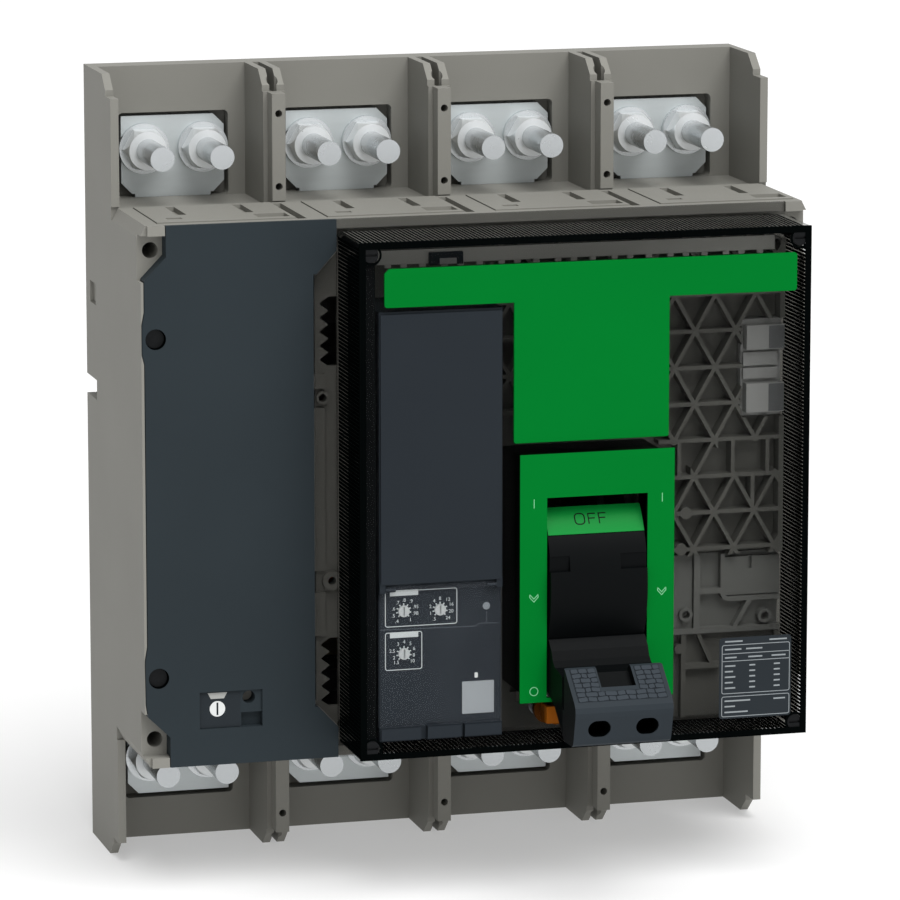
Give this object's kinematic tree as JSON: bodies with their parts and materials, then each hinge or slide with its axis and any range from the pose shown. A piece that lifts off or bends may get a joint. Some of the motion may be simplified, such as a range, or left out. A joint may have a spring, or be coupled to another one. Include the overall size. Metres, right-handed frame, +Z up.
{
  "type": "moulded case circuit breaker",
  "caption": "Fixed moulded case circuit breaker with a toggle, a smoked front cover, a neutral pole cover, a trip unit with dials and front stud terminals behind phase barriers.",
  "frame": {"origin": "centre of the four panel mounting holes, on the back plane", "axes": "+X to the right seen from the front, +Z up, -Y out of the front, +Y into the panel"},
  "size_m": [0.28, 0.1846, 0.327],
  "materials": {
    "case_grey": "fine moulded texture",
    "case_front_grey": "fine moulded texture",
    "slate_plastic": "fine moulded texture",
    "trip_slate": "satin",
    "mechanism_grey": "moulded",
    "panel_grey": "moulded",
    "connector_grey": "moulded",
    "smoked_clear": "clear smoked polycarbonate with ribbed black rim",
    "flap_clear": "clear smoked polycarbonate",
    "green_plastic": "satin",
    "flag_green": "satin",
    "toggle_black": "moulded",
    "grip_black": "raised texture",
    "white_plastic": "satin",
    "orange_plastic": "satin",
    "tinned_copper": "tinned, brushed",
    "zinc_steel": "zinc plated",
    "dark_steel": "black oxide",
    "mechanism_steel": "zinc plated",
    "copper": "drawn",
    "shaft_plastic": "glass filled",
    "chute_steel": "plates in fibre sides",
    "sensor_resin": "cast resin"
  },
  "bodies": {
    "case": {"terminal_base": "case_grey", "main_case": "case_front_grey", "terminal_studs": "zinc_steel", "terminal_nuts": "zinc_steel", "terminal_washers": "zinc_steel", "neutral_cover": "slate_plastic", "mechanism_cover": "mechanism_grey", "lower_panel": "panel_grey", "connector_blocks": "connector_grey", "front_cover": "smoked_clear", "green_fascia": "green_plastic", "toggle_bezel": "green_plastic", "trip_unit": "trip_slate", "alarm_lamp": "white_plastic", "button_spring": "zinc_steel", "trip_actuator": "mechanism_steel", "mechanism_plates": "mechanism_steel", "toggle_pin": "mechanism_steel", "cover_screws": "dark_steel", "case_screws": "dark_steel", "arc_cover_1": "case_front_grey", "upper_terminal_1": "tinned_copper", "lower_terminal_1": "tinned_copper", "arc_chute_1": "chute_steel", "flexible_link_1": "copper", "current_sensor_1": "sensor_resin", "arc_cover_2": "case_front_grey", "upper_terminal_2": "tinned_copper", "lower_terminal_2": "tinned_copper", "arc_chute_2": "chute_steel", "flexible_link_2": "copper", "current_sensor_2": "sensor_resin", "arc_cover_3": "case_front_grey", "upper_terminal_3": "tinned_copper", "lower_terminal_3": "tinned_copper", "arc_chute_3": "chute_steel", "flexible_link_3": "copper", "current_sensor_3": "sensor_resin", "arc_cover_4": "case_front_grey", "upper_terminal_4": "tinned_copper", "lower_terminal_4": "tinned_copper", "arc_chute_4": "chute_steel", "flexible_link_4": "copper", "current_sensor_4": "sensor_resin"},
    "toggle": {"toggle": "toggle_black", "toggle_grip": "grip_black", "position_flags": "flag_green"},
    "drive_link_pair": {"drive_links": "mechanism_steel"},
    "contact_shaft": {"pole_shaft": "shaft_plastic", "moving_contact_1": "copper", "moving_contact_2": "copper", "moving_contact_3": "copper", "moving_contact_4": "copper"},
    "trip_push_button": {"trip_button": "orange_plastic"},
    "trip_shaft": {"trip_bar": "shaft_plastic"},
    "settings_flap": {"settings_cover": "flap_clear"},
    "long_time_dial": {"dial_long_time": "white_plastic"},
    "delay_dial": {"dial_delay": "white_plastic"},
    "instant_dial": {"dial_instant": "white_plastic"},
    "neutral_dial": {"neutral_selector": "white_plastic"}
  },
  "joints": [
    {"name": "toggle_hinge", "type": "hinge", "parent": "case", "child": "toggle", "pos_m": [0.0383, -0.102, -0.0375], "axis": [-1, 0, 0], "range_deg": [0, 60]},
    {"name": "drive_link_hinge", "type": "hinge", "parent": "toggle", "child": "drive_link_pair", "pos_m": [0.0383, -0.11447, -0.03381], "axis": [-1, 0, 0], "range_deg": [-60, 0]},
    {"name": "contact_shaft_hinge", "type": "hinge", "parent": "case", "child": "contact_shaft", "pos_m": [0, -0.052, 0.01], "axis": [-1, 0, 0], "range_deg": [0, 30]},
    {"name": "trip_button_slide", "type": "slide", "parent": "case", "child": "trip_push_button", "axis": [0, 1, 0], "range_m": [0, 0.003], "stiffness_N_per_m": 400, "springref_m": -0.001},
    {"name": "trip_shaft_hinge", "type": "hinge", "parent": "case", "child": "trip_shaft", "pos_m": [0, -0.082, -0.0765], "axis": [1, 0, 0], "range_deg": [0, 11.5]},
    {"name": "settings_flap_hinge", "type": "hinge", "parent": "case", "child": "settings_flap", "pos_m": [-0.0256, -0.1413, -0.035], "axis": [-1, 0, 0], "range_deg": [0, 110]},
    {"name": "long_time_dial_turn", "type": "hinge", "parent": "case", "child": "long_time_dial", "pos_m": [-0.0406, -0.139, -0.0442], "axis": [0, -1, 0], "range_deg": [-135, 135]},
    {"name": "delay_dial_turn", "type": "hinge", "parent": "case", "child": "delay_dial", "pos_m": [-0.0255, -0.139, -0.0444], "axis": [0, -1, 0], "range_deg": [-135, 135]},
    {"name": "instant_dial_turn", "type": "hinge", "parent": "case", "child": "instant_dial", "pos_m": [-0.0405, -0.139, -0.0617], "axis": [0, -1, 0], "range_deg": [-135, 135]},
    {"name": "neutral_dial_turn", "type": "hinge", "parent": "case", "child": "neutral_dial", "pos_m": [-0.1099, -0.106, -0.0875], "axis": [0, -1, 0], "range_deg": [-90, 90]}
  ],
  "couplings": [
    {"joint": "drive_link_hinge", "follows": "toggle_hinge", "ratio": -1},
    {"joint": "contact_shaft_hinge", "follows": "toggle_hinge", "ratio": 0.5},
    {"joint": "trip_shaft_hinge", "follows": "trip_button_slide", "rad_per_m": 66}
  ]
}
